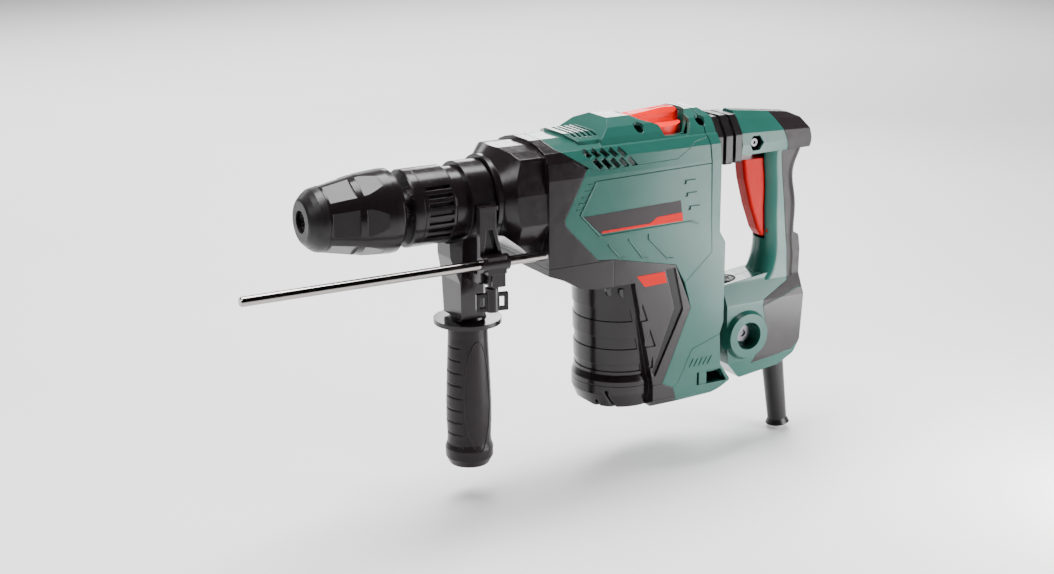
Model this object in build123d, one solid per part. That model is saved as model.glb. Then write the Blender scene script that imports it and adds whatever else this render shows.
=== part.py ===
"""Rotary hammer with a D handle, a side handle and a depth rod.

Frame: millimetres, +Z up. The origin is the centre of the tool socket's mouth. The spindle lies on
the X axis with its nose towards -X, the D handle is at +X and the tool's left side is at -Y.
"""

import math
import os
from build123d import *

# Driving dimensions
WALL = 3.0                 # moulded shell thickness
GAP = 0.2                  # seam between neighbouring shells
RUN = 0.05                 # radial clearance of a running fit
SOCKET_R = 9.2             # tool socket for an 18 mm shank
SOCKET_END = 100.0
BODY_HALF = 47.0           # half width of the housing
NECK_X = 163.0             # back of the round neck
NECK_R = 37.0
CORNER_X = 186.0           # where the flare has become the gearbox's square section
CORNER_R = 62.0
MOTOR_X = 295.0            # vertical motor axis
MOTOR_R = 41.5
MODULE = 1.5               # all gear teeth
MOTOR_TEETH = 8
IDLER_TEETH = 36
CRANK_TEETH = 40
BEVEL_TEETH = 12
CROWN_TEETH = 40
GEAR_Z = -50.0             # mid plane of the spur gears
IDLER_X = MOTOR_X - MODULE * (MOTOR_TEETH + IDLER_TEETH) / 2
CRANK_X = MOTOR_X + MODULE * (MOTOR_TEETH + CRANK_TEETH) / 2
CROWN_FACE = IDLER_X - MODULE * BEVEL_TEETH / 2 - 1.8   # root plane of the crown gear's teeth
CRANK_THROW = 12.0
ROD_LENGTH = 63.0          # connecting rod, pin to pin
CRANK_PIN_X = CRANK_X - CRANK_THROW
WRIST_X = CRANK_PIN_X - ROD_LENGTH
TUBE_BORE = 16.0           # bore of the hammer tube round the striker and piston
TUBE_OUT = 21.0
KNOB_X = 324.0             # selector knob, vertical axis
KNOB_R = 28.0
PIVOT = (416.5, -153.5)    # x, z of the handle's damper pivot
CLAMP_X = 146.6            # axis of the side handle
ROD_Y = -45.0              # depth rod
ROD_Z = -43.5
ROD_R = 4.0
TRIGGER_PIVOT = (449.0, -63.5)
WHEEL_X = 408.0            # speed wheel in the handle's lower body
BOOT_TOP = (466.5, -190.0) # x, z where the strain relief leaves the handle
BOOT_LENGTH = 67.0
BOOT_LEAN = math.radians(7.8)
CORD_R = 4.6               # bore for the supply cord


BASE = (Align.CENTER, Align.CENTER, Align.MIN)


# ---------------------------------------------------------------- helpers
def outline(points, radius=0.0, inset=0.0):
    """Closed polygon with rounded corners, shrunk by inset, listed in either direction."""
    area = sum(a[0] * b[1] - b[0] * a[1] for a, b in zip(points, points[1:] + points[:1]))
    ordered = points if area > 0 else points[::-1]
    shape = Sketch() + make_face(Polyline(*ordered, close=True))
    if radius:
        shape = fillet(shape.vertices(), radius)
    if inset:
        shape = offset(shape, -inset, kind=Kind.INTERSECTION)
    return shape


def prism_xz(points, y0, y1, radius=0.0, inset=0.0):
    plane = Plane((0, y1, 0), x_dir=(1, 0, 0), z_dir=(0, -1, 0))
    return extrude(plane * outline(points, radius, inset), y1 - y0)


def prism_yz(points, x0, x1, radius=0.0, inset=0.0):
    plane = Plane((x0, 0, 0), x_dir=(0, 1, 0), z_dir=(1, 0, 0))
    return extrude(plane * outline(points, radius, inset), x1 - x0)


def prism_xy(points, z0, z1, radius=0.0, inset=0.0):
    return extrude(Plane((0, 0, z0)) * outline(points, radius, inset), z1 - z0)


def slab(x0, x1, y0, y1, z0, z1):
    return Pos((x0 + x1) / 2, (y0 + y1) / 2, (z0 + z1) / 2) * Box(x1 - x0, y1 - y0, z1 - z0)


def cyl_x(r, x0, x1, y=0.0, z=0.0):
    return Plane((x0, y, z), z_dir=(1, 0, 0)) * Cylinder(r, x1 - x0, align=BASE)


def cyl_y(r, y0, y1, x, z):
    return Plane((x, y0, z), x_dir=(1, 0, 0), z_dir=(0, 1, 0)) * Cylinder(r, y1 - y0, align=BASE)


def cyl_z(r, z0, z1, x, y=0.0):
    return Pos(x, y, z0) * Cylinder(r, z1 - z0, align=BASE)


def turned_x(points):
    """Solid of revolution about the X axis from (x, radius) points."""
    plane = Plane((0, 0, 0), x_dir=(1, 0, 0), z_dir=(0, -1, 0))
    return revolve(plane * outline(points), Axis.X)


def turned_z(points, x, y=0.0):
    """Solid of revolution about a vertical axis from (radius, z) points."""
    plane = Plane((x, y, 0), x_dir=(1, 0, 0), z_dir=(0, -1, 0))
    return revolve(plane * outline(points), Axis((x, y, 0), (0, 0, 1)))


def mirrored(shape):
    return mirror(shape, Plane.XZ)


def both_sides(shape):
    return shape + mirrored(shape)


def left_half(shape):
    return shape & slab(-100, 600, -200, -GAP / 2, -400, 200)


def right_half(shape):
    return shape & slab(-100, 600, GAP / 2, 200, -400, 200)


def gear(teeth, z0, z1, x, turned=0.0, bore=0.0):
    """Spur gear with thinned straight-flanked teeth and a vertical axis."""
    pitch = MODULE * teeth / 2
    tip = pitch + MODULE * 0.8
    root = pitch - MODULE * 1.2
    points = []
    for tooth in range(teeth):
        middle = 2 * math.pi * tooth / teeth + math.radians(turned)
        for radius, half in ((root, -1.0), (tip, -0.35), (tip, 0.35), (root, 1.0)):
            angle = middle + half / radius
            points.append((radius * math.cos(angle), radius * math.sin(angle)))
    body = Pos(x, 0, 0) * prism_xy(points, z0, z1)
    return body - cyl_z(bore, z0 - 1, z1 + 1, x) if bore else body


def helix_spring(radius, wire, height, turns, plane):
    """Coil spring made of a swept wire, standing on a plane."""
    path = Helix(pitch=height / turns, height=height, radius=radius)
    section = Plane(path @ 0, z_dir=path % 0) * Circle(wire)
    return plane * sweep(section, path=path)


# ---------------------------------------------------------------- housing
SIDE_SECTION = [
    (-BODY_HALF, 18), (-45, 32), (-39, 39.5), (-28, 43.5), (-14, 46.5), (14, 46.5), (28, 43.5),
    (39, 39.5), (45, 32), (BODY_HALF, 18), (BODY_HALF, -190), (42, -197), (-42, -197),
    (-BODY_HALF, -190),
]
GEARBOX_SECTION = [
    (-46, -18), (-45, 8), (-38.5, 36.5), (-27, 41), (-12, 43.5), (12, 43.5), (27, 41), (38.5, 36.5),
    (45, 8), (46, -18), (32, -47), (18, -66), (-18, -66), (-32, -47),
]
BODY_PROFILE = [
    (198, 70), (198, -62), (214, -68), (228, -77), (246, -80), (246, -180), (252, -189),
    (264, -197), (330, -196), (366, -194), (385, -184), (374, -168), (372.5, -139), (376, -128),
    (376, -56), (370, -46), (370, 60), (366, 70),
]
BODY_PLAN = [
    (180, -BODY_HALF), (340, -BODY_HALF), (364, -44), (377, -36), (384, -20),
    (384, 20), (377, 36), (364, 44), (340, BODY_HALF), (180, BODY_HALF),
]
UPPER_PLAN = [
    (180, -BODY_HALF), (340, -BODY_HALF), (357, -44), (371, -31), (384, -18),
    (384, 18), (371, 31), (357, 44), (340, BODY_HALF), (180, BODY_HALF),
]
PANEL_SIDE = [
    (281, 80), (281, -60), (284, -86), (303, -176), (303, -200), (400, -200), (400, 80),
]
FOOT_PLAN = [
    (180, -BODY_HALF), (350, -BODY_HALF), (386, -42), (386, 42), (350, BODY_HALF),
    (180, BODY_HALF),
]
GEARBOX_PROFILE = [
    (150, 60), (262, 60), (262, -80), (228, -77), (214, -68), (196, -52), (166, -27), (150, -27),
]
POD_PROFILE = [
    (175, -10), (345, -10), (345, -90), (262, -90), (240, -80.5), (228, -77), (214, -68),
    (196, -52),
]
ISLAND_SECTION = [
    (-40, 24), (-39, 36), (-34, 46), (-28, 53), (-14, 58.5), (14, 58.5), (28, 53), (34, 46),
    (39, 36), (40, 24),
]
ISLAND_PROFILE = [
    (251, 20), (256, 45), (265, 52.5), (276, 60.5), (350, 60.5), (362, 62), (370, 54), (370, 20),
]


def gearbox_form(t):
    """Gearbox: a round neck that opens into flat sides with a chamfered belly."""
    box = prism_yz(GEARBOX_SECTION, NECK_X, 264, 4, t)
    box &= prism_xz(GEARBOX_PROFILE, -60, 60, 0, t)
    flare = turned_x([
        (NECK_X, 0), (NECK_X, NECK_R - t), (CORNER_X, CORNER_R - t), (264, CORNER_R), (264, 0),
    ])
    return box & flare


def pod_form(t):
    """Crank case below the gearbox, half round in front."""
    plan = Pos(268, 0) * Circle(BODY_HALF - t) + Pos(304, 0) * Rectangle(72, 2 * (BODY_HALF - t))
    pod = extrude(Plane((0, 0, -80 + t)) * plan, 70)
    return pod & prism_xz(POD_PROFILE, -60, 60, 0, t)


def trunk_form(t):
    """Upper housing with faceted shoulders and the lower motor housing."""
    trunk = prism_yz(SIDE_SECTION, 199, 390, 3, t)
    trunk &= prism_xz(BODY_PROFILE, -60, 60, 2, t)
    plans = prism_xy(FOOT_PLAN, -220, -176, 3, t) + prism_xy(BODY_PLAN, -176, -53, 3, t)
    trunk &= plans + prism_xy(UPPER_PLAN, -53, 80, 3, t)
    front = turned_z([
        (0, -60), (MOTOR_R - t, -60), (MOTOR_R - 3 - t, -166), (MOTOR_R - 1 - t, -172),
        (MOTOR_R - 1 - t, -184), (MOTOR_R - 6 - t, -196), (0, -196),
    ], MOTOR_X)
    behind = prism_xz(PANEL_SIDE, -60, 60, 0, t)
    above = slab(190, 400, -60, 60, -80 + t, 80)
    return trunk & (front + behind + above)


def island_form(t):
    """Raised rear part of the top cover."""
    island = prism_yz(ISLAND_SECTION, 230, 372, 2, t)
    return island & prism_xz(ISLAND_PROFILE, -60, 60, 2, t)


def housing_form(t):
    return gearbox_form(t) + pod_form(t) + trunk_form(t) + island_form(t)


GREEN_FRONT = [
    (207, 90), (207, 53), (211, 41.5), (235, 23.5), (214, -16), (215, -21.5), (246, -54.5),
]
GEARBOX_REGION = [(120, 90)] + GREEN_FRONT + [(262, -56), (120, -56)]
SKIRT_REGION = [(120, -56), (262, -56), (262, -82), (120, -82)]
COVER_REGION = GREEN_FRONT[:3] + [
    (237.5, 25), (244, 22), (325, 23.5), (344.5, 35), (359, 37.5), (359, 90),
]
MOTOR_REGION = [
    (262, -56), (324.5, -69.5), (341, -110.5), (312.5, -176), (250, -176), (220, -176),
    (220, -82), (262, -82),
]
BASE_REGION = [(220, -176), (312.5, -176), (323.5, -181), (330, -200), (220, -200)]
FOOT_REGION = [
    (373.5, -139), (343, -149), (329, -177), (323.5, -181), (330, -200), (400, -200), (400, -139),
]
REAR_REGION = [
    (359, 90), (361, -44), (362, -63), (334, -87), (341, -110.5), (312.5, -176),
    (323.5, -181), (329, -177), (343, -149), (373.5, -139), (400, -139), (400, 90),
]
SIDE_REGION = [
    (246, -54.5), (215, -21.5), (214, -16), (235, 23.5), (237.5, 25), (244, 22), (325, 23.5),
    (344.5, 35), (359, 37.5), (361, -44), (362, -63), (334, -87), (324.5, -69.5), (262, -56),
]


def region(points):
    """Full-width prism of one shell's area, half a seam smaller all round."""
    return prism_xz(points, -80, 80, 0, GAP / 2)


def vent_slots(count, start, step, size, lean, y0, y1):
    slots = []
    for index in range(count):
        x, z = start[0] + step[0] * index, start[1] + step[1] * index
        slot = Pos(x, (y0 + y1) / 2, z) * Rot(0, lean, 0) * Box(size[0], y1 - y0, size[1])
        slots.append(slot)
    return slots


def top_slots():
    """Five slots across the raised pad on top."""
    return [slab(x, x + 2.8, -24, 24, 38, 70) for x in (236, 241, 246, 251, 256)]


def knob_well():
    """Round well of the selector, open at both sides through a scoop."""
    well = cyl_z(KNOB_R + 3, 37, 80, KNOB_X)
    scoop = prism_xz([(310, 70), (318, 42), (342, 41), (347, 50), (347, 70)], -60, 60)
    return well + scoop


def screw_wells():
    wells = []
    for x in (296, 358):
        wells.append(cyl_z(4.6, 43, 80, x, -29))
        wells.append(cyl_z(4.6, 43, 80, x, 29))
    return wells


def make_housing():
    outer = housing_form(0)
    inner = housing_form(WALL)
    opening = cyl_x(27, 120, 200)
    shell = outer - inner - opening
    shell -= [cyl_x(30, 150, 162.9)]
    neck = turned_x([
        (124, 22.5), (124, 30), (134.8, 30), (158.2, 30), (158.2, 37), (162, 37), (164.8, 35.2),
        (168, 35.2), (168, 27), (134, 27), (134, 22.5),
    ])
    gearbox = (shell & region(GEARBOX_REGION)) + (neck - cyl_x(27, 134, 200))
    skirt = shell & region(SKIRT_REGION)
    skirt &= slab(150, 262 - GAP / 2, -60, 60, -90, 0)

    pad = prism_yz([(-36, 36), (-31, 45), (-15, 49.2), (15, 49.2), (31, 45), (36, 36)], 231, 265)
    pad &= prism_xy([
        (231, -18), (235, -31), (260, -35), (265, -30), (265, 30), (260, 35), (235, 31), (231, 18),
    ], 30, 70)
    cover = (shell & region(COVER_REGION)) + (pad - trunk_form(1.0) - island_form(1.0))
    floor = cyl_z(KNOB_R + 6, 34, 37, KNOB_X) & region(COVER_REGION)
    walls = (cyl_z(KNOB_R + 6, 34, 55, KNOB_X) - cyl_z(KNOB_R + 3, 30, 80, KNOB_X))
    cover += floor + (walls & island_form(0.5))
    for x in (296, 358):
        for y in (-29, 29):
            cover += (cyl_z(7, 34.5, 43, x, y) & island_form(1.0)) & region(COVER_REGION)
    cover -= [knob_well(), cyl_z(8.1, 20, 40, KNOB_X)] + screw_wells() + top_slots()
    cover -= [cyl_z(2.2, 30, 60, x, y) for x in (296, 358) for y in (-29, 29)]
    slots = vent_slots(5, (238, 36), (8.3, -0.5), (4.4, 8.5), -42, -60, 60)
    slots += vent_slots(5, (246.5, 27.5), (8.3, -0.5), (4.4, 10.5), -42, -60, 60)
    cover -= [slot - slab(200, 300, -38, 38, 0, 60) for slot in slots]

    sides = shell & region(SIDE_REGION)
    sides &= slab(200, 400, -60, 60, -100, 60)
    marks = prism_xz([(244, 13.9), (359.6, 16.3), (359.6, 15.7), (244, 13.3)], -60, -46.2)
    for x, z in ((332.5, 2.6), (334.2, -8.6), (337.4, -20.7)):
        marks += slab(x - 1.3, x + 1.3, -60, -46, z - 1.7, z + 1.7)
        marks += slab(x + 1.3, x + 10.5, -60, -46.4, z + 1.1, z + 1.7)
    sides -= both_sides(marks)
    rear = shell & region(REAR_REGION)
    rear -= screw_wells() + [cyl_z(2.2, 30, 60, 358, y) for y in (-29, 29)]
    rear -= slab(345, 400, -10.5, 10.5, -170, -137)
    rear -= [slab(360, 400, -26, 26, z, z + 3.5) for z in range(-44, 10, 7)]
    rear -= prism_yz([(-19, 14), (19, 14), (19, 34), (10, 44), (-10, 44), (-19, 34)], 360, 400, 2)
    rear += cyl_x(4.5, 366.5, 376, 0, 28) + slab(366.5, 369.5, -20, 20, 24, 32)
    foot = shell & region(FOOT_REGION)
    boss_room = cyl_y(38, -60, 60, PIVOT[0] - 2, PIVOT[1])
    rear -= boss_room
    recess = prism_xz([(349, -172), (349, -184), (381, -184), (374, -172)], -60, -40)
    foot -= [boss_room, slab(345, 400, -10.5, 10.5, -170, -137), recess, mirrored(recess)]
    foot += slab(352, 360, -46, 46, -188, -170) & housing_form(1.0)

    motor = shell & region(MOTOR_REGION)
    motor -= slab(200, 262 + GAP / 2, -60, 60, -82, -40)
    for top, bottom in ((-106, -117), (-132, -142.5), (-157, -163)):
        taper = MOTOR_R - 1.3 + (top + 60) * 3 / 106
        ring = cyl_z(80, bottom, top, MOTOR_X) - cyl_z(taper, -200, 0, MOTOR_X)
        motor -= ring & prism_xz([(200, -60), (274, -60), (280, -86), (298, -176), (200, -176)], -60, 60)
    chevron = [(314, -72), (324, -72), (333, -110.5), (305, -168), (301, -165), (323.5, -108.5)]
    louvres = prism_xz(chevron, -60, -BODY_HALF + 1.4)
    for triangle in (
        [(290.9, -99.2), (297, -115.6), (287.9, -115.9)],
        [(299.1, -123.4), (305.3, -140.1), (292.8, -139.8)],
        [(302.1, -148.3), (302.8, -159.3), (298.4, -159.3)],
    ):
        louvres += prism_xz(triangle, -60, -BODY_HALF + 1.6)
    motor -= both_sides(louvres)
    base = shell & region(BASE_REGION)
    base -= [slab(262, 328, y, y + 3, -200, -180) for y in range(-30, 31, 10)]
    return {
        "gearbox_housing": gearbox,
        "gearbox_skirt": skirt,
        "top_cover": cover,
        "side_shell_left": left_half(sides),
        "side_shell_right": right_half(sides),
        "rear_shell": rear,
        "foot_shell": foot,
        "motor_cover_left": left_half(motor),
        "motor_cover_right": right_half(motor),
        "motor_base_cap": base,
    }


# ---------------------------------------------------------------- chuck and spindle
SLEEVE_OUTLINE = [
    (15.2, 18.5), (15.2, 26.5), (27, 28.8), (48, 33), (70, 34.7), (75, 34.5), (78, 32), (78, 18.5),
]


def make_chuck():
    cap = turned_x([
        (0, SOCKET_R), (0, 16.5), (1.2, 18.6), (5, 22.4), (9, 25.2), (12, 26), (15, 26.4), (15, 15.1),
        (4, 15.1), (4, SOCKET_R),
    ])
    sleeve = turned_x(SLEEVE_OUTLINE)
    for turn in range(6):
        for x0, x1 in ((22, 44), (50, 68)):
            panel = slab(x0, x1, -11, 11, 25.6 + (x0 - 22) * 0.19, 60)
            lean = Pos(x0, 0, 0) * Rot(0, -10.5, 0) * Pos(-x0, 0, 0)
            sleeve -= Rot(60 * turn + 30, 0, 0) * (lean * panel)
    stop = turned_x([
        (86, 15.1), (86, 31.2), (87.5, 32.2), (94.6, 32.2), (94.6, 15.1),
    ])
    position = turned_x([
        (95, 15.1), (95, 32.2), (122, 32.2), (124, 30.5), (124, 15.1),
    ])
    for side in (90, -90):
        for turn in range(-3, 4):
            position -= Rot(side + 12.8 * turn, 0, 0) * slab(98, 120, -1.8, 1.8, 30, 40)
    tube = turned_x([
        (4.2, SOCKET_R), (4.2, 15), (140, 15), (150, TUBE_OUT), (282, TUBE_OUT), (282, TUBE_BORE),
        (158, TUBE_BORE), (150, 11), (SOCKET_END, 11), (SOCKET_END, SOCKET_R),
    ])
    jaws = []
    for side in (1, -1):
        slot = Pos(42, 0, side * 12.2) * Box(26, 5, 8)
        tube -= slot
        jaw = Pos(42, 0, side * 12.2) * Box(25, 4.8, 8)
        jaws.append((jaw & cyl_x(14.9, 20, 70)) - cyl_x(SOCKET_R + 0.1, 20, 70))
    crown = turned_x([
        (CROWN_FACE - 7, TUBE_OUT), (CROWN_FACE - 7, 34), (CROWN_FACE, 34), (CROWN_FACE, TUBE_OUT),
    ])
    for tooth in range(CROWN_TEETH):
        wedge = prism_xy([
            (CROWN_FACE - 0.2, -0.9), (CROWN_FACE + 2.6, -0.4), (CROWN_FACE + 2.6, 0.4),
            (CROWN_FACE - 0.2, 0.9),
        ], -34, -26.5)
        crown += Rot(360 / CROWN_TEETH * tooth, 0, 0) * wedge
    spring = helix_spring(17.0, 0.8, 14.0, 4, Plane((71, 0, 0), z_dir=(1, 0, 0)))
    return {
        "dust_cap": cap,
        "locking_sleeve": sleeve,
        "sleeve_spring": spring,
        "stop_ring": stop,
        "position_sleeve": position,
        "hammer_tube": tube,
        "locking_jaws": jaws[0] + jaws[1],
        "crown_gear": crown,
    }


def make_hammer():
    """Impact bolt, striker, piston and the crank drive that moves it."""
    bolt = turned_x([
        (105, 0), (105, 8), (108, 10.9), (146, 10.9), (149, 9), (160, 9), (160, 0),
    ])
    striker = turned_x([
        (170, 0), (170, 9), (178, 9), (182, TUBE_BORE - RUN), (215, TUBE_BORE - RUN), (215, 0),
    ])
    piston = cyl_x(TUBE_BORE - RUN, 238, 268) - cyl_x(12.5, 246, 270)
    pin = cyl_z(4, -12, 12, WRIST_X)
    piston += (cyl_z(7, -14, -6, WRIST_X) + cyl_z(7, 6, 14, WRIST_X)) & cyl_x(14, 240, 268)
    piston -= cyl_z(4 + RUN, -30, 30, WRIST_X)
    rod = cyl_z(7, -5.5, 5.5, WRIST_X) + slab(WRIST_X, CRANK_PIN_X, -4, 4, -4, 4)
    rod += cyl_z(10, -4.5, 4.5, CRANK_PIN_X)
    rod -= cyl_z(4 + RUN, -30, 30, WRIST_X)
    rod -= cyl_z(5, -20, 20, CRANK_PIN_X)
    crank_pin = cyl_z(5, -6.6, 5.5, CRANK_PIN_X)
    crank = cyl_z(7.5, -74, -14, CRANK_X) + cyl_z(22, -14, -7, CRANK_X)
    crank -= [slab(CRANK_X - 30, CRANK_X + 30, y - 4, y + 4, -11, 0) for y in (17, -17)]
    crank_gear = gear(CRANK_TEETH, GEAR_Z - 4, GEAR_Z + 4, CRANK_X, 0, 7.5)
    crank_gear -= [Pos(CRANK_X, 0, 0) * Rot(0, 0, 60 * n) * cyl_z(5, -60, -40, 18) for n in range(6)]
    return {
        "impact_bolt": bolt,
        "striker": striker,
        "piston": piston,
        "wrist_pin": pin,
        "connecting_rod": rod,
        "crank_pin": crank_pin,
        "crank_shaft": crank + crank_gear,
    }


def make_drive():
    """Motor, idler gear with its bevel pinion, bearings and the plate that carries them."""
    pinion_teeth = gear(BEVEL_TEETH, -34.5, -26, IDLER_X, 15)
    pinion = pinion_teeth + cyl_z(6, -76, -34, IDLER_X)
    idler = gear(IDLER_TEETH, GEAR_Z - 4, GEAR_Z + 4, IDLER_X, 0, 6)
    idler -= [Pos(IDLER_X, 0, 0) * Rot(0, 0, 60 * n) * cyl_z(4, -60, -40, 15) for n in range(6)]
    shaft = cyl_z(3.9, -182, -44, MOTOR_X) + gear(MOTOR_TEETH, GEAR_Z - 4, GEAR_Z + 4, MOTOR_X, 22.5)
    rotor = cyl_z(19.5, -160, -100, MOTOR_X)
    for turn in range(8):
        rotor -= Pos(MOTOR_X, 0, 0) * Rot(0, 0, 45 * turn) * slab(14, 18, -4, 4, -161, -99)
    rotor -= cyl_z(3.9, -170, -90, MOTOR_X)
    fan = cyl_z(9, -92, -80, MOTOR_X) + cyl_z(34, -92, -90, MOTOR_X)
    for turn in range(11):
        blade = Rot(0, 0, 360 / 11 * turn) * (Rot(0, 0, 25) * slab(12, 33, -0.8, 0.8, -90.5, -81))
        fan += Pos(MOTOR_X, 0, 0) * blade
    fan -= cyl_z(3.9, -100, -70, MOTOR_X)
    stator = cyl_z(35, -160, -100, MOTOR_X) - cyl_z(20.2, -170, -90, MOTOR_X)
    for turn in range(6):
        stator -= Pos(MOTOR_X, 0, 0) * Rot(0, 0, 60 * turn) * slab(22, 32, -5, 5, -161, -99)
    coils = []
    for turn in range(6):
        place = Pos(MOTOR_X, 0, 0) * Rot(0, 0, 60 * turn)
        coils.append(place * slab(22.3, 31.7, -4.7, 4.7, -167, -95))
    bearings = []
    for x, inner, outer, z0, z1 in (
        (MOTOR_X, 3.9 + RUN, 11, -172, -164), (MOTOR_X, 3.9 + RUN, 11, -72, -65),
        (IDLER_X, 6 + RUN, 13, -72, -65), (CRANK_X, 7.5 + RUN, 16, -72, -65),
        (CRANK_X, 7.5 + RUN, 16, -40, -33),
    ):
        bearings.append(cyl_z(outer, z0, z1, x) - cyl_z(inner, z0 - 1, z1 + 1, x))
    plate = slab(238, 351, -41.5, 41.5, -72, -65)
    plate -= cyl_z(11, -80, -60, MOTOR_X) + cyl_z(13, -80, -60, IDLER_X)
    plate -= cyl_z(16, -80, -60, CRANK_X)
    bridge = slab(CRANK_X - 20, 351, -41.5, 41.5, -40, -33) - cyl_z(16, -50, -30, CRANK_X)
    plate += bridge + both_sides(slab(CRANK_X - 20, 351, 34, 41.5, -72, -33))
    saddle = prism_yz([(-38, -44), (38, -44), (38, 20), (26, 33), (-26, 33), (-38, 20)], 225, 240)
    saddle += both_sides(slab(238, 252, 30, 38, -72, -30))
    plate += saddle - cyl_x(27, 220, 250)
    for x0, x1 in ((150.5, 166), (226, 239)):
        bearings.append(cyl_x(26.9, x0, x1) - cyl_x(TUBE_OUT + RUN, x0 - 1, x1 + 1))
    seat = cyl_z(14, -175, -164, MOTOR_X) - cyl_z(11, -180, -160, MOTOR_X)
    seat += cyl_z(14, -177, -175, MOTOR_X) - cyl_z(6, -180, -160, MOTOR_X)
    seat += slab(MOTOR_X - 35.8, MOTOR_X - 13.5, -3, 3, -175, -168)
    seat += slab(MOTOR_X + 13.5, MOTOR_X + 29, -3, 3, -175, -168)
    seal = cyl_x(22.4, 126, 132) - cyl_x(15 + RUN, 120, 140)
    board = slab(344, 366, -38, 38, -130, -127) + slab(348, 358, -30, 30, -127, -112)
    return {
        "bevel_pinion_shaft": pinion,
        "idler_gear": idler,
        "motor_shaft": shaft,
        "motor_rotor": rotor,
        "cooling_fan": fan,
        "stator_core": stator,
        "stator_coils": Compound(coils),
        "bearings": Compound(bearings),
        "gear_frame": plate,
        "motor_bearing_seat": seat,
        "tube_seal": seal,
        "control_board": board,
    }


def make_selector():
    knob = cyl_z(KNOB_R, 38, 48, KNOB_X)
    bar = prism_xy([
        (-29, -4), (-20, -8), (20, -9), (28, -5), (28, 5), (20, 9), (-20, 8), (-29, 4),
    ], 47, 62, 2)
    bar &= prism_xz([
        (-31, 46), (-30, 54), (-20, 57), (12, 60), (24, 59.5), (29, 53), (30, 46),
    ], -20, 20)
    bar &= prism_yz([(-10, 46), (-8, 55), (-4, 60.5), (4, 60.5), (8, 55), (10, 46)], -40, 40)
    bar -= slab(-8, 22, -1.5, 1.5, 58.6, 70)
    knob += Pos(KNOB_X, 0, 0) * (bar & cyl_z(KNOB_R + 2, 40, 70, 0))
    knob += cyl_z(8, 28, 38, KNOB_X)
    return {"selector_knob": knob}


# ---------------------------------------------------------------- rear handle
LOWER_PROFILE = [
    (395, -107), (424, -104), (448, -101), (455, -95), (458, -80), (462, -60), (481, -70),
    (482.5, -84), (480.5, -120), (477.5, -167), (470, -180), (458, -190), (416, -197),
    (398, -179), (396, -165), (395, -128),
]
HANDLE_LOWER_HALF = 26.0
ARM_FRONT = 408.5


def arm_form(t):
    front = Plane((ARM_FRONT, 0, 0), x_dir=(0, 1, 0), z_dir=(1, 0, 0))
    back = Plane((489 - t, 0, 0), x_dir=(0, 1, 0), z_dir=(1, 0, 0))
    front_section = [
        (-22, 12), (-24, 22), (-22, 32), (-13, 44), (-6, 50.5), (6, 50.5), (13, 44), (22, 32),
        (24, 22), (22, 12),
    ]
    back_section = [
        (-19, 12), (-21, 21), (-19, 29), (-12, 37), (-6, 41), (6, 41), (12, 37), (19, 29),
        (21, 21), (19, 12),
    ]
    ends = [front * outline(front_section, 0, t), back * outline(back_section, 0, t)]
    arm = loft([end.face() for end in ends], ruled=True)
    profile = [
        (395, 0), (395, 70), (450, 70), (468, 44), (480, 38.5), (486, 29), (487, 15), (482, 0),
    ]
    return arm & prism_xz(profile, -40, 40, 3, t)


def grip_form(t):
    """Curved grip between the upper arm and the lower body, from rounded sections."""
    sections = []
    for z, front, back, half in (
        (20, 441, 485.5, 16.5), (12, 441, 486, 16.5), (2, 441, 482, 16), (-10, 442, 478.5, 15.5),
        (-30, 443, 480.5, 15.5), (-55, 443.5, 482, 15.5), (-82, 444, 482.5, 16),
        (-96, 441, 482, 17), (-108, 434, 481.5, 18),
    ):
        middle = (front + back) / 2
        size = (back - front - 2 * t, 2 * (half - t))
        section = RectangleRounded(*size, 14 - t)
        sections.append((Plane((middle, 0, z)) * section).face())
    return loft(sections)


def lower_form(t):
    half = HANDLE_LOWER_HALF
    lower = prism_xz(LOWER_PROFILE, -half + t, half - t, 4, t)
    shoulder = [
        (-half, -124), (-16, -106), (-14, -60), (14, -60), (16, -106), (half, -124), (half, -178),
        (16, -200), (-16, -200), (-half, -178),
    ]
    return lower & prism_yz(shoulder, 380, 500, 3, t)


def handle_form(t):
    return arm_form(t) + grip_form(t) + lower_form(t)


SOFT_REGION = [
    (437, 60), (449, 44), (455.5, 32), (461, 13.5), (457, 9), (461, -24), (467, -82),
    (466.5, -110.5), (436, -123), (434.5, -129), (475, -117.5), (500, -117), (500, 60),
]
PANEL_REGION = [
    (434.5, -129.3), (475, -117.8), (500, -117.8), (500, -167), (478, -167.2), (469, -175),
    (423.5, -182.7), (430, -171), (439, -156), (437, -138),
]


def along_boot(start, length, r0, r1):
    """Cone or cylinder on the strain relief's leaning axis."""
    lean = (math.sin(BOOT_LEAN), 0, -math.cos(BOOT_LEAN))
    plane = Plane((BOOT_TOP[0], 0, BOOT_TOP[1]), z_dir=lean)
    form = Cylinder(r0, length, align=BASE) if r0 == r1 else Cone(r0, r1, length, align=BASE)
    return plane * (Pos(0, 0, start) * form)


def boot():
    """Strain-relief sleeve with a flared end, bored for the supply cord."""
    sleeve = along_boot(0, BOOT_LENGTH - 5, 10.2, 9.0)
    sleeve += along_boot(BOOT_LENGTH - 5, 5, 9.0, 11.2)
    return sleeve - along_boot(-20, 100, CORD_R, CORD_R)


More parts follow.
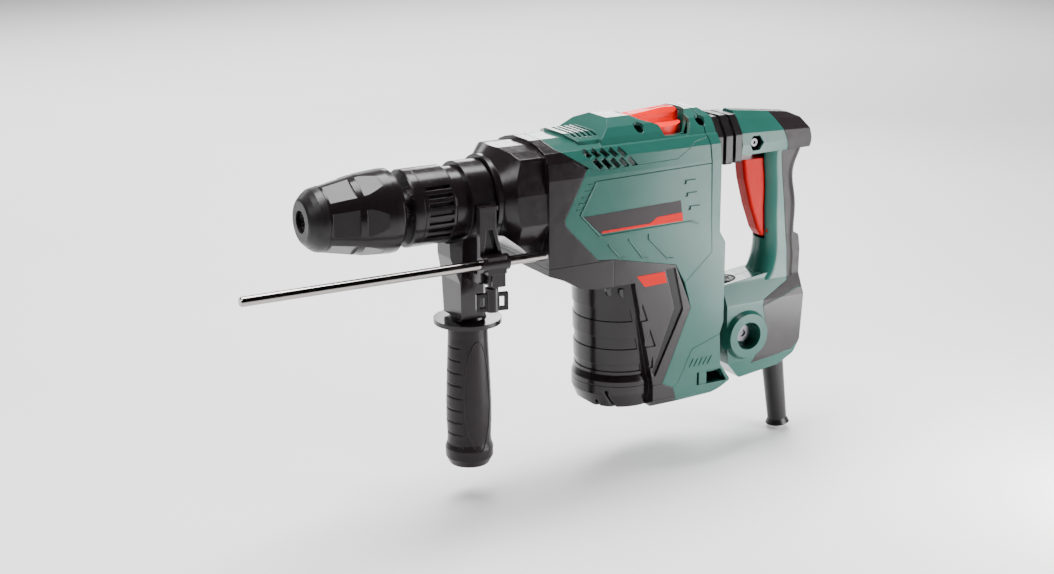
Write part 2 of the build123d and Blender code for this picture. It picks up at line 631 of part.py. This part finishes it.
def make_handle():
    shell = handle_form(0) - handle_form(WALL)
    px, pz = PIVOT
    ring_plane = Plane((px, -22, pz), x_dir=(1, 0, 0), z_dir=(0, -1, 0))
    ring = ring_plane * Cone(25, 20.5, 9, align=BASE) - cyl_y(12.7, -40, -20, px, pz)
    inside = cyl_y(14.5, -24, -11, px, pz) - cyl_y(6 + RUN, -40, 0, px, pz)
    shell -= cyl_y(12.7, -60, -22, px, pz) + cyl_y(12.7, 22, 60, px, pz)
    inside -= cyl_y(12.7, -30, -17, px, pz)
    shell += both_sides(ring + inside)
    shell -= slab(390, 410, -11, 11, -170, -137) & slab(380, 400, -60, 60, -200, 0)
    shell -= slab(430, 458, -9.2, 9.2, -71, 11)
    shell -= cyl_y(2.05, -11.2, 11.2, *TRIGGER_PIVOT)
    shell -= cyl_z(11.5, -117, -80, WHEEL_X)
    well = (cyl_z(14, -119, -98, WHEEL_X) - cyl_z(11.5, -117, -80, WHEEL_X)) & lower_form(0.5)
    shell += well - cyl_z(3.5 + RUN, -125, -90, WHEEL_X)
    shell -= along_boot(-14, 40, 10.3, 10.3)
    for y in (-23, 23):
        seat = Plane((424.5, y, 22), x_dir=(1, 0, 0), z_dir=(0, 1, 0))
        shell -= seat * extrude(RegularPolygon(7.5, 6), 4, both=True)
    soft = shell & prism_xz(SOFT_REGION, -60, 60, 0, GAP / 2)
    panel = shell & prism_xz(PANEL_REGION, -60, 60, 0, GAP / 2)
    green = shell - prism_xz(SOFT_REGION, -60, 60) - prism_xz(PANEL_REGION, -60, 60)
    bolts = []
    for side in (1, -1):
        head = cyl_y(3.6, side * 17 - 2, side * 17 + 2, 424.5, 22)
        bolts.append(head - cyl_y(1.6, side * 19 - 1.5, side * 19 + 1.5, 424.5, 22))
    pivot = cyl_y(6, -18, 18, px, pz)
    pivot += both_sides(cyl_y(8, -20, -17.2, px, pz) - cyl_y(3.5, -21, -18.5, px, pz))
    bracket = slab(352, 424, -10, 10, -166, -141) + cyl_y(13, -10, 10, px, pz)
    bracket -= cyl_y(6, -20, 20, px, pz)
    switch = slab(457, 472.5, -8, 8, -70, -22)
    spring = helix_spring(4.2, 0.6, 7.4, 3, Plane((448.6, 0, -30), z_dir=(1, 0, 0)))
    wheel = cyl_z(10.8, -116, -105, WHEEL_X) + cyl_z(3.5, -122, -116, WHEEL_X)
    for turn in range(18):
        wheel -= Pos(WHEEL_X, 0, 0) * Rot(0, 0, 20 * turn) * cyl_z(1.0, -117, -100, 11.2)
    wheel -= slab(WHEEL_X - 1, WHEEL_X + 8, -1, 1, -106, -90)
    damper = helix_spring(7, 1.2, 26, 6, Plane((378, 0, 28), z_dir=(1, 0, 0)))
    return {
        "handle_shell_left": left_half(green),
        "handle_shell_right": right_half(green),
        "handle_soft_grip": soft,
        "handle_lower_panel": panel,
        "handle_bolts": Compound(bolts),
        "pivot_bolt": pivot,
        "pivot_bracket": bracket,
        "switch_block": switch,
        "trigger_spring": spring,
        "speed_wheel": wheel,
        "damper_spring": damper,
        "trigger": trigger(),
        "bellows": bellows(),
        "cable_boot": boot(),
    }


def trigger():
    """Trigger blade with a rounded front, hollow inside, on moulded trunnions."""
    blade = prism_xz([
        (421.5, 4), (424, -14), (431, -39.5), (439.5, -62), (444, -68.5), (452, -68.5),
        (450, 2), (446, 4),
    ], -8, 8)
    front = [
        edge for edge in blade.edges()
        if abs(edge.center().Y) > 7.9 and edge.center().X < 442 and edge.center().Z < 3
    ]
    blade = fillet(front, 3.0)
    blade -= prism_xz([(426, 1), (428.5, -14), (435, -38), (441, -54), (455, -54), (455, 1)], -5.5, 5.5)
    return blade + cyl_y(2, -11, 11, *TRIGGER_PIVOT)


def bellows():
    """Rubber gaiter with two ribs between the housing and the handle's arm."""
    body = None
    ribs = (
        (371.5, 380, -0.5), (380, 386, 3), (386, 389, 0), (389, 396, 3.5), (396, 399.5, 0),
        (399.5, 406, 3), (406, ARM_FRONT - GAP, 0.5),
    )
    hollow = [(-17, 14), (-17, 30), (-10, 41), (10, 41), (17, 30), (17, 14)]
    for x0, x1, grow in ribs:
        wide, top, low = 23 + grow, 45.5 + grow, 10 - grow
        section = [
            (-wide, low), (-wide, 32), (-13 - grow / 2, top), (13 + grow / 2, top), (wide, 32),
            (wide, low),
        ]
        ring = prism_yz(section, x0, x1, 3) - prism_yz(hollow, x0 - 1, x1 + 1)
        body = ring if body is None else body + ring
    return body


# ---------------------------------------------------------------- side handle and depth rod
GRIP_OUTLINE = [
    (17, -105.2), (17, -116), (18.4, -150), (19.3, -175), (19.3, -192), (18.6, -206),
    (18.9, -211), (20.6, -216), (20.4, -224), (17, -230.5),
]


def grip_radius(z):
    """Radius of the side grip's surface at a height."""
    for (r0, z0), (r1, z1) in zip(GRIP_OUTLINE, GRIP_OUTLINE[1:]):
        if z1 <= z <= z0:
            return r0 + (r1 - r0) * (z0 - z) / (z0 - z1)
    return GRIP_OUTLINE[-1][0]


def make_side_handle():
    band = cyl_x(33.6, 136, 157) - cyl_x(30 + 0.1, 130, 160)
    collar = turned_z([
        (0, -98), (15, -98), (16, -100.5), (28.8, -101), (28.8, -104.8), (17, -105), (0, -105),
    ], CLAMP_X)
    x0, x1 = CLAMP_X - 22, CLAMP_X + 11
    stem = prism_yz([(-19, -28), (19, -28), (16.5, -98), (-16.5, -98)], x0, x1)
    stem &= prism_xy([
        (x0, -11), (x0 + 9, -19), (x1 - 6, -19), (x1, -12), (x1, 12), (x1 - 6, 19), (x0 + 9, 19),
        (x0, 11),
    ], -110, 0)
    stem &= prism_xz([
        (x0, -20), (x0 + 1, -45), (x0 + 7, -66), (x0 + 8, -98), (x1, -98), (x1, -20),
    ], -30, 30)
    stem -= cyl_x(33.7, 100, 180)
    stem -= cyl_z(5.2, -110, -20, CLAMP_X)
    clamp_bolt = cyl_z(5, -140, -35, CLAMP_X)
    grip = turned_z([(5, -105.2)] + GRIP_OUTLINE + [(0, -230.5), (0, -141), (5, -141)], CLAMP_X)
    for step in range(9):
        z = -124 - 11 * step
        groove = Pos(CLAMP_X, 0, z) * Torus(grip_radius(z) + 0.5, 1.2)
        grip -= groove & slab(100, CLAMP_X - 13, -30, 30, -230, -110)
    cheek = prism_xz([
        (138, 3), (153, 3), (153, -18), (159, -42), (159, -60), (138, -60), (138, -18),
    ], -41, -35)
    cheek -= prism_xz([(144, -17), (149.5, -17), (156, -42), (141, -42)], -45, -37)
    cheek += slab(137, 154, -42.5, -38, -0.5, 3)
    cheek -= cyl_x(34, 120, 170)
    holder = slab(140, 157, -51, -36, -52, -37) + slab(144, 156, -50.5, -34, -63, -40)
    holder += cyl_x(6.8, 136, 160.5, ROD_Y, ROD_Z)
    holder -= cyl_x(ROD_R + RUN, 120, 170, ROD_Y, ROD_Z)
    bracket = cheek + holder
    link = slab(138, 156, -38, -17, -62, -54)
    bracket += link - stem - slab(120, 170, -19.2, 0, -70, -40)
    bracket -= cyl_z(3.05, -70, -44, 146, ROD_Y)
    screw = cyl_z(3, -68, ROD_Z - ROD_R - 0.3, 146, ROD_Y) + cyl_z(5.5, -84, -64, 146, ROD_Y)
    wings = slab(-13.5, 13.5, -2, 2, -83.5, -68.5)
    wings -= slab(-10.8, -6, -3, 3, -80.5, -71.5) + slab(6, 10.8, -3, 3, -80.5, -71.5)
    screw += Pos(146, ROD_Y, 0) * Rot(0, 0, -12) * wings
    rod = cyl_x(ROD_R, -68.5, 196, ROD_Y, ROD_Z)
    rod += Plane((-69.5, ROD_Y, ROD_Z), z_dir=(1, 0, 0)) * Cone(3.2, ROD_R, 1, align=BASE)
    rod += Plane((196, ROD_Y, ROD_Z), z_dir=(1, 0, 0)) * Cone(ROD_R, 3.2, 1, align=BASE)
    return {
        "clamp_band": band,
        "handle_stem": stem + collar - cyl_z(5.2, -110, -20, CLAMP_X),
        "clamp_bolt": clamp_bolt,
        "side_grip": grip,
        "rod_bracket": bracket,
        "wing_screw": screw,
        "depth_rod": rod,
    }


def make_fasteners():
    screws = []
    for x in (296, 358):
        for y in (-29, 29):
            screws.append(cyl_z(3.6, 43, 45.4, x, y) + cyl_z(2.1, 34, 43, x, y))
    return {"cover_screws": Compound(screws)}


def main():
    os.makedirs("parts", exist_ok=True)
    nodes = {}
    for make in (make_housing, make_chuck, make_hammer, make_drive, make_selector, make_handle,
                 make_side_handle, make_fasteners):
        nodes.update(make())
    for name, shape in nodes.items():
        export_step(shape, f"parts/{name}.step")
        print(name, len(shape.solids()), round(shape.volume))


main()
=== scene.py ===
import math

import bpy
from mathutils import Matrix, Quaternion, Vector


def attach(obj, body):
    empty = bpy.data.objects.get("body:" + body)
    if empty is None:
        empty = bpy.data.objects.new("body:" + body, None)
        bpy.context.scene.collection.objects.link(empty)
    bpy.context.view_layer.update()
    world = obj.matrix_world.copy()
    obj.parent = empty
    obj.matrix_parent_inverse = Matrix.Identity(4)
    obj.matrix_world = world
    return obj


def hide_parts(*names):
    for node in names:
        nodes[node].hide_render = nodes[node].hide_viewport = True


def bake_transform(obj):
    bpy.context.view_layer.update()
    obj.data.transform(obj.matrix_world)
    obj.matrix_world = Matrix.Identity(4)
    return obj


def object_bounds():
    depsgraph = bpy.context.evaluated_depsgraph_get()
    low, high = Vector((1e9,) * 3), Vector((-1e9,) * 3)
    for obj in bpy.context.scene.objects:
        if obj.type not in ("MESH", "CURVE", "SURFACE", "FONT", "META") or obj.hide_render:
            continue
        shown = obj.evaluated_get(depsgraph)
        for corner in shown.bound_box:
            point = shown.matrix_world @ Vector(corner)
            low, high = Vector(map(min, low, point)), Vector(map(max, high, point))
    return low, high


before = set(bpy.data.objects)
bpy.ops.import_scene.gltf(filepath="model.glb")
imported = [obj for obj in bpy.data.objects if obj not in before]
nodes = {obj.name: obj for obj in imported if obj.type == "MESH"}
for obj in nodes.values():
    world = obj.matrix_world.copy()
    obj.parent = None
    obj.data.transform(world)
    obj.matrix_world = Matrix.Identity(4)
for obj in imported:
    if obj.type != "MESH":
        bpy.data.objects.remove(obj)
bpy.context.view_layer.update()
MM = 0.001


# ---------------------------------------------------------------- materials
CLOUD_SCALE, SHEEN_SCALE = 22, 160


def new_material(name):
    """New node material with its shader and an object coordinate node."""
    mat = bpy.data.materials.new(name)
    mat.use_nodes = True
    tree = mat.node_tree
    bsdf = tree.nodes["Principled BSDF"]
    coord = tree.nodes.new("ShaderNodeTexCoord")
    return mat, tree, bsdf, coord


def noise(tree, coord, scale, detail=3.0, rough=0.5, stretch=None):
    """Soft random value between 0 and 1, with its pattern stretched along the axes if asked."""
    vector = coord.outputs["Object"]
    if stretch:
        mapping = tree.nodes.new("ShaderNodeMapping")
        mapping.inputs["Scale"].default_value = stretch
        tree.links.new(vector, mapping.inputs["Vector"])
        vector = mapping.outputs["Vector"]
    node = tree.nodes.new("ShaderNodeTexNoise")
    node.inputs["Scale"].default_value = scale
    node.inputs["Detail"].default_value = detail
    node.inputs["Roughness"].default_value = rough
    tree.links.new(vector, node.inputs["Vector"])
    return node.outputs["Fac"]


def remap(tree, value, low, high, start=0.3, end=0.7):
    """Value brought from the span start to end into the span low to high."""
    node = tree.nodes.new("ShaderNodeMapRange")
    node.inputs["From Min"].default_value = start
    node.inputs["From Max"].default_value = end
    node.inputs["To Min"].default_value = low
    node.inputs["To Max"].default_value = high
    tree.links.new(value, node.inputs["Value"])
    return node.outputs["Result"]


def two_tone(tree, factor, dark, light):
    """Colour between two colours, by a factor."""
    node = tree.nodes.new("ShaderNodeMix")
    node.data_type = "RGBA"
    node.inputs["A"].default_value = (*dark, 1)
    node.inputs["B"].default_value = (*light, 1)
    tree.links.new(factor, node.inputs["Factor"])
    return node.outputs["Result"]


def surface(name, colour, rough, metallic=0.0, grain=1400, bump=0.05, tint=0.08, round_mm=0.5,
            spread=0.06, specular=0.5, stretch=None):
    """Finish with a slightly uneven colour, an uneven sheen, a fine grain and softened edges."""
    mat, tree, bsdf, coord = new_material(name)
    cloud = noise(tree, coord, CLOUD_SCALE, 4)
    dark = [c * (1 - tint) for c in colour]
    light = [min(1, c * (1 + tint)) for c in colour]
    shade = remap(tree, cloud, 0, 1)
    tree.links.new(two_tone(tree, shade, dark, light), bsdf.inputs["Base Color"])
    sheen = noise(tree, coord, SHEEN_SCALE, 3, 0.6, stretch)
    tree.links.new(remap(tree, sheen, rough - spread, rough + spread), bsdf.inputs["Roughness"])
    bsdf.inputs["Metallic"].default_value = metallic
    bsdf.inputs["Specular IOR Level"].default_value = specular
    fine = noise(tree, coord, grain, 2, 0.5, stretch)
    relief = tree.nodes.new("ShaderNodeBump")
    relief.inputs["Strength"].default_value = bump
    relief.inputs["Distance"].default_value = 0.0004
    tree.links.new(fine, relief.inputs["Height"])
    if round_mm:
        edge = tree.nodes.new("ShaderNodeBevel")
        edge.samples = 6
        edge.inputs["Radius"].default_value = round_mm * MM
        tree.links.new(edge.outputs["Normal"], relief.inputs["Normal"])
    tree.links.new(relief.outputs["Normal"], bsdf.inputs["Normal"])
    return mat


def banded(name, dark, light, rough, metallic, wave_scale, direction="Z", bump=0.3):
    """Finish with fine regular bands, as on stacked sheets or wound wire."""
    mat, tree, bsdf, coord = new_material(name)
    wave = tree.nodes.new("ShaderNodeTexWave")
    wave.bands_direction = direction
    wave.inputs["Scale"].default_value = wave_scale
    wave.inputs["Distortion"].default_value = 0.4
    wave.inputs["Detail"].default_value = 2
    tree.links.new(coord.outputs["Object"], wave.inputs["Vector"])
    tree.links.new(two_tone(tree, wave.outputs["Fac"], dark, light), bsdf.inputs["Base Color"])
    bsdf.inputs["Metallic"].default_value = metallic
    sheen = remap(tree, noise(tree, coord, 120), rough - 0.08, rough + 0.08)
    tree.links.new(sheen, bsdf.inputs["Roughness"])
    relief = tree.nodes.new("ShaderNodeBump")
    relief.inputs["Strength"].default_value = bump
    relief.inputs["Distance"].default_value = 0.0003
    tree.links.new(wave.outputs["Fac"], relief.inputs["Height"])
    tree.links.new(relief.outputs["Normal"], bsdf.inputs["Normal"])
    return mat


GREEN = surface("green_plastic", (0.016, 0.083, 0.066), 0.2, bump=0.02, specular=0.3, spread=0.03,
                round_mm=0.8)
CHARCOAL = surface("charcoal_plastic", (0.008, 0.0054, 0.0064), 0.21, bump=0.03, specular=0.35,
                   spread=0.04, round_mm=0.8)
CHUCK = surface("black_gloss_plastic", (0.007, 0.005, 0.0058), 0.22, bump=0.02, specular=0.3,
                spread=0.04, round_mm=0.7)
RUBBER = surface("black_rubber", (0.006, 0.0045, 0.005), 0.38, bump=0.08, grain=1100, specular=0.35)
SOFT = surface("soft_grip_rubber", (0.014, 0.0105, 0.0115), 0.36, bump=0.1, grain=1000, specular=0.2,
               round_mm=0.8)
RED = surface("red_plastic", (0.95, 0.009, 0.005), 0.35, bump=0.02, specular=0.15, tint=0.03)
TRIGGER_RED = surface("trigger_red", (0.4, 0.002, 0.0015), 0.4, bump=0.02, specular=0.08,
                      tint=0.03)
DARK = surface("dark_nylon", (0.014, 0.013, 0.014), 0.55, specular=0.15)
BRIGHT = surface("bright_steel", (0.36, 0.33, 0.32), 0.15, 1.0, bump=0.01, tint=0.04,
                 spread=0.05, round_mm=0.3)
SCREW = surface("blackened_steel", (0.1, 0.1, 0.105), 0.32, 1.0, bump=0.03, round_mm=0.2)
GEAR = surface("ground_steel", (0.42, 0.41, 0.4), 0.28, 1.0, bump=0.05, round_mm=0.15,
               stretch=(1, 1, 6))
CAST = surface("cast_alloy", (0.55, 0.55, 0.56), 0.5, 1.0, bump=0.25, grain=700, round_mm=0.4)
COPPER = banded("wound_copper", (0.3, 0.09, 0.03), (0.75, 0.32, 0.14), 0.3, 1.0, 350)
LAMINATED = banded("laminated_core", (0.12, 0.12, 0.125), (0.4, 0.4, 0.41), 0.4, 1.0, 420)
BOARD = banded("lacquered_board", (0.012, 0.1, 0.04), (0.025, 0.19, 0.08), 0.35, 0.0, 60,
               "DIAGONAL", 0.1)
# near-black finish for the plates in the motor panel recess: painted shade that darkens the recess,
# not the plastic's own colour
RECESS_SHADE = surface("recess_painted_shade", (0.003, 0.0022, 0.0025), 0.35, bump=0.02, specular=0.2,
                       round_mm=0.1)
PALE = surface("pale_print", (0.6, 0.6, 0.6), 0.4, bump=0.02, round_mm=0.1)
STRIPE = surface("grey_print", (0.022, 0.017, 0.019), 0.35, specular=0.15, bump=0, round_mm=0)
LABEL = surface("red_label", (0.55, 0.004, 0.003), 0.4, specular=0.08, bump=0, round_mm=0)

FINISHES = {
    GREEN: ["top_cover", "side_shell_left", "side_shell_right", "rear_shell", "foot_shell",
            "handle_shell_left", "handle_shell_right"],
    CHARCOAL: ["gearbox_housing", "gearbox_skirt", "motor_cover_left", "motor_cover_right",
               "motor_base_cap", "handle_lower_panel", "handle_stem", "rod_bracket"],
    CHUCK: ["locking_sleeve", "stop_ring", "position_sleeve", "clamp_band", "wing_screw"],
    RUBBER: ["dust_cap", "bellows", "cable_boot", "tube_seal"],
    SOFT: ["handle_soft_grip", "side_grip"],
    RED: ["selector_knob"],
    TRIGGER_RED: ["trigger"],
    DARK: ["speed_wheel", "switch_block", "motor_bearing_seat", "cooling_fan"],
    BRIGHT: ["depth_rod", "wrist_pin", "sleeve_spring", "trigger_spring", "damper_spring",
             "bearings", "clamp_bolt"],
    SCREW: ["cover_screws", "handle_bolts", "pivot_bolt"],
    GEAR: ["hammer_tube", "locking_jaws", "crown_gear", "impact_bolt", "striker",
           "connecting_rod", "crank_pin", "crank_shaft", "idler_gear", "bevel_pinion_shaft",
           "motor_shaft"],
    CAST: ["gear_frame", "piston", "pivot_bracket"],
    LAMINATED: ["motor_rotor", "stator_core"],
    COPPER: ["stator_coils"],
    BOARD: ["control_board"],
}
for material, names in FINISHES.items():
    for name in names:
        mesh = nodes[name].data
        mesh.materials.clear()
        mesh.materials.append(material)


# ---------------------------------------------------------------- added pieces
def finish_piece(obj, material, body="housing", bevel=0.0):
    """Give an added piece its material, its body and, in millimetres, its bevelled edges."""
    obj.data.materials.append(material)
    if bevel:
        modifier = obj.modifiers.new("edges", "BEVEL")
        modifier.width = bevel * MM
        modifier.segments = 3
        modifier.limit_method = "ANGLE"
    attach(obj, body)
    return obj


def make_mesh(name, points, faces):
    """New object from points in millimetres."""
    mesh = bpy.data.meshes.new(name)
    mesh.from_pydata([Vector(p) * MM for p in points], [], faces)
    mesh.update()
    obj = bpy.data.objects.new(name, mesh)
    bpy.context.scene.collection.objects.link(obj)
    return obj


def side_plate(name, outline, surface_y, proud, material, sunk=0.4, bevel=0.2):
    """Flat piece on a side wall, from (x, z) points, standing proud of the wall."""
    area = sum(a[0] * b[1] - b[0] * a[1] for a, b in zip(outline, outline[1:] + outline[:1]))
    ring = outline if area > 0 else outline[::-1]
    side = math.copysign(1, surface_y)
    count = len(ring)
    inner = [(x, surface_y - side * sunk, z) for x, z in ring]
    outer = [(x, surface_y + side * proud, z) for x, z in ring]
    front, back = list(range(count, 2 * count)), list(range(count))[::-1]
    sides = [(i, (i + 1) % count, count + (i + 1) % count, count + i) for i in range(count)]
    faces = [front, back] + sides
    if side > 0:
        faces = [face[::-1] for face in faces]
    finish_piece(make_mesh(name, inner + outer, faces), material, bevel=bevel)


def cad_point(node, origin, direction):
    """Point in millimetres where a line first meets a CAD piece."""
    obj = nodes[node]
    to_local = obj.matrix_world.inverted()
    aim = (to_local.to_3x3() @ Vector(direction)).normalized()
    _, place, _, _ = obj.ray_cast(to_local @ (Vector(origin) * MM), aim)
    return obj.matrix_world @ place / MM


def bead(name, points, axis_x, radius, material, body):
    """Closed round bead through points on a surface that wraps round an upright axis."""
    sides, count = 8, len(points)
    verts, faces = [], []
    for i, point in enumerate(points):
        along = (points[(i + 1) % count] - points[i - 1]).normalized()
        out = Vector((point.x - axis_x, point.y, 0)).normalized()
        across = along.cross(out).normalized()
        for k in range(sides):
            turn = 2 * math.pi * k / sides
            verts.append(point + (out * math.cos(turn) + across * math.sin(turn)) * radius)
    for i in range(count):
        for k in range(sides):
            a, b = i * sides + k, i * sides + (k + 1) % sides
            step = ((i + 1) % count - i) * sides
            faces.append((a, b, b + step, a + step))
    obj = finish_piece(make_mesh(name, verts, faces), material, body)
    obj.data.polygons.foreach_set("use_smooth", [True] * len(faces))


def stroke(points, width):
    """Outline of a broad line through (x, z) points, mitred at its corners."""
    left, right = [], []
    for i, (x, z) in enumerate(points):
        before = Vector(points[max(i - 1, 0)])
        after = Vector(points[min(i + 1, len(points) - 1)])
        here = Vector((x, z))
        first = (here - before).normalized() if i else (after - here).normalized()
        second = (after - here).normalized() if i < len(points) - 1 else first
        tangent = (first + second).normalized()
        normal = Vector((-tangent.y, tangent.x))
        reach = width / 2 / max(0.5, normal.dot(Vector((-first.y, first.x))))
        left.append(tuple(here + normal * reach))
        right.append(tuple(here - normal * reach))
    return left + right[::-1]


# Places and sizes are in millimetres in the part's frame: x towards the handle, z up.
SIDES = (("left", -1), ("right", 1))
SHELL_WALL = 47.0
COVER_PANEL = 45.5
RIB_COUNT = 5
GRIP_X, GRIP_MIDDLE = 146.6, -167.5
WHEEL_X, WHEEL_TOP = 408.0, -105.0

EMBOSSED = {
    "emboss_front": [(255.7, -42.4), (267.2, -55.1), (274.2, -56.7)],
    "emboss_middle": [(275.9, -40.2), (290.2, -58.3), (296.1, -59.7)],
    "emboss_rear": [(296.4, -38.5), (296.4, -42.9), (315.6, -62.4), (321.5, -62.7)],
    "panel_fold": [(244.3, 13.6), (228.9, -13.7), (248.1, -34.3), (339.8, -32.8), (347, -36)],
}
BADGE_STRIPE = [(231.5, -15.6), (328.3, -13), (330.4, -27.2), (331, -30.3), (248.1, -31.4)]
BADGE_RED = [(249.2, -31.8), (249.9, -29.9), (297, -29.2), (305, -24.6), (329.9, -23.6), (331, -31.2)]
PANEL_RECESS_SHADE = [(315, -72.8), (323.3, -72.8), (331.8, -110.5), (305, -166), (302, -164.2),
                (324.6, -108.5)]
MOTOR_LABEL = [(284.7, -74.4), (313.2, -74), (315.4, -84), (293.2, -84.8)]


def rib_row(name, start, step, run, width, wall, proud):
    """Row of short slanted ribs: the first one's start, the step to the next and each rib's run."""
    for n in range(RIB_COUNT):
        x, z = start[0] + n * step[0], start[1] + n * step[1]
        line = stroke([(x, z), (x + run[0], z + run[1])], width)
        side_plate(name.format(n + 1), line, wall, proud, GREEN, bevel=0.4)


def grip_outline(label, sign):
    """Oval bead lying on one side of the side grip."""
    count, half_height, half_turn, clear = 56, 48.5, math.radians(38), 60
    loop = []
    for n in range(count):
        turn = 2 * math.pi * n / count
        aside = half_turn * math.sin(turn)
        out = Vector((math.sin(aside), sign * math.cos(aside), 0))
        start = Vector((GRIP_X, 0, GRIP_MIDDLE + half_height * math.cos(turn))) + out * clear
        loop.append(cad_point("side_grip", start, -out))
    bead(f"grip_outline_{label}", loop, GRIP_X, 0.55, SOFT, "side_grip")


def motor_catch(number, x, z):
    """Small hooked lug on the round motor cover, with its upper front corner at (x, z)."""
    wall = cad_point("motor_cover_left", (x + 1, -90, z - 5), (0, 1, 0)).y
    outline = [(x - 2, z), (x + 3, z), (x + 3, z - 8.5), (x + 0.5, z - 8.5), (x - 2, z - 4)]
    side_plate(f"motor_catch_{number}", outline, wall, 1.2, CHARCOAL,
               sunk=3, bevel=0.6)


def dial_ticks():
    """Seven pale pointer ticks on the speed wheel, thirty degrees apart, as one mesh."""
    count, pitch, half_width, radii = 7, 30, 0.35, (6.6, 9.4)
    levels = (WHEEL_TOP - 0.3, WHEEL_TOP + 0.25)
    points, faces = [], []
    for n in range(count):
        turn = math.radians(pitch * n - 90)
        along = Vector((math.cos(turn), math.sin(turn), 0))
        across = Vector((-along.y, along.x, 0)) * half_width
        for radius in radii:
            for level in levels:
                centre = Vector((WHEEL_X, 0, level)) + along * radius
                points += [centre + across, centre - across]
        o = 8 * n
        faces += [(o, o + 1, o + 3, o + 2), (o + 4, o + 6, o + 7, o + 5),
                  (o, o + 2, o + 6, o + 4), (o + 1, o + 5, o + 7, o + 3),
                  (o + 2, o + 3, o + 7, o + 6), (o, o + 4, o + 5, o + 1)]
    finish_piece(make_mesh("speed_dial_ticks", points, faces), PALE, "speed_wheel")


bpy.context.view_layer.update()
for label, sign in SIDES:
    wall = sign * SHELL_WALL
    for name, line in EMBOSSED.items():
        side_plate(f"{name}_{label}", stroke(line, 1.4), wall, 0.9, GREEN, bevel=0.4)
    side_plate(f"badge_stripe_{label}", BADGE_STRIPE, wall, 0.25, STRIPE, bevel=0.1)
    side_plate(f"badge_red_{label}", BADGE_RED, wall, 0.4, LABEL, bevel=0.1)
    rib_row("front_rib_{}_" + label, (236.3, 11.5), (-2.9, -5.1), (6.5, -1.2), 1.2, wall, 0.6)
    rib_row("foot_rib_{}_" + label, (341, -165.5), (4.8, 0), (4.2, 7.3), 1.3, wall, 0.7)
    grip_outline(label, sign)
motor_catch(1, 266.5, -85.5)
motor_catch(2, 275.5, -86.5)
# thin near-black plates laid in the motor panel recess on both sides, as painted shade in the recess
for label, sign in SIDES:
    side_plate(f"recess_shade_plate_{label}", PANEL_RECESS_SHADE, sign * COVER_PANEL, 0.15, RECESS_SHADE,
               sunk=0.3)
side_plate("motor_label", MOTOR_LABEL, -SHELL_WALL, 0.3, LABEL, bevel=0.1)
dial_ticks()

# the rubber gaiter between the housing and the handle: a copy of the bellows mesh set in place of the
# hidden bellows
gaiter = bpy.data.objects.new("bellows_gaiter", nodes["bellows"].data.copy())
bpy.context.scene.collection.objects.link(gaiter)
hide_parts("bellows")
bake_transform(gaiter)

# ---------------------------------------------------------------- floor, light and camera
FLOOR_SIZE, FLOOR_GAP = 14, 0.004
lo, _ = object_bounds()
bpy.ops.mesh.primitive_plane_add(size=FLOOR_SIZE, location=(0.2, 0, lo.z - FLOOR_GAP))
floor = bpy.context.object
floor.name = "floor"
pale, tree, bsdf, coord = new_material("pale_floor")
cloud = remap(tree, noise(tree, coord, 3), 0, 1)
tree.links.new(two_tone(tree, cloud, (0.9, 0.9, 0.9), (0.93, 0.93, 0.93)), bsdf.inputs["Base Color"])
bsdf.inputs["Roughness"].default_value = 0.9
floor.data.materials.append(pale)


def softbox(name, location, aim, size, power):
    """White area light at a place in metres, facing its aim, with its width, height and watts."""
    data = bpy.data.lights.new(name, "AREA")
    data.shape = "RECTANGLE"
    data.size, data.size_y = size
    data.energy = power
    light = bpy.data.objects.new(name, data)
    bpy.context.scene.collection.objects.link(light)
    light.location = location
    light.rotation_mode = "QUATERNION"
    light.rotation_quaternion = (Vector(aim) - Vector(location)).to_track_quat("-Z", "Y")


middle = (0.22, 0.0, -0.06)
softbox("top_softbox", (0.1, 0.25, 1.6), middle, (2.0, 0.9), 95)
softbox("key_softbox", (0.79, -0.46, 0.0), (0.36, -0.03, 0.0), (0.36, 0.5), 6.8)
softbox("low_softbox", (0.64, -0.3, -0.19), (0.37, -0.05, -0.14), (0.16, 0.1), 0.5)
softbox("front_softbox", (-1.2, -0.3, 0.9), (0.1, 0, 0), (0.35, 0.5), 5)
softbox("back_softbox", (1.1, 1.2, 0.45), (0.3, 0.0, 0.0), (0.75, 0.35), 7)
softbox("backdrop_softbox", (0.9, 2.2, 0.6), (0.9, 2.2, -1.0), (3.4, 1.6), 52)

# the surroundings are dark on the camera's side and brighten beyond the tool
world = bpy.data.worlds.new("studio")
bpy.context.scene.world = world
world.use_nodes = True
sky = world.node_tree
sky_coord = sky.nodes.new("ShaderNodeTexCoord")
split = sky.nodes.new("ShaderNodeSeparateXYZ")
sky.links.new(sky_coord.outputs["Generated"], split.inputs["Vector"])
brightness = remap(sky, split.outputs["Y"], low=0.0, high=0.4, start=-0.2, end=0.8)
sky.links.new(brightness, sky.nodes["Background"].inputs["Strength"])
sky.nodes["Background"].inputs["Color"].default_value = (1, 1, 1, 1)

camera_data = bpy.data.cameras.new("camera")
camera = bpy.data.objects.new("camera", camera_data)
bpy.context.scene.collection.objects.link(camera)
camera_data.sensor_width = 36
camera_data.lens = 61.48
camera_data.clip_start, camera_data.clip_end = 0.01, 50
azimuth, elevation, roll = math.radians(-29.2), math.radians(16.4), math.radians(-0.3)
distance = 1.535
target = Vector((0.204, 0, -0.0835))
back = Vector((math.sin(azimuth) * math.cos(elevation), -math.cos(azimuth) * math.cos(elevation),
               math.sin(elevation)))
camera.location = target + back * distance
camera.rotation_mode = "QUATERNION"
camera.rotation_quaternion = (-back).to_track_quat("-Z", "Y") @ Quaternion((0, 0, 1), roll)
bpy.context.scene.camera = camera
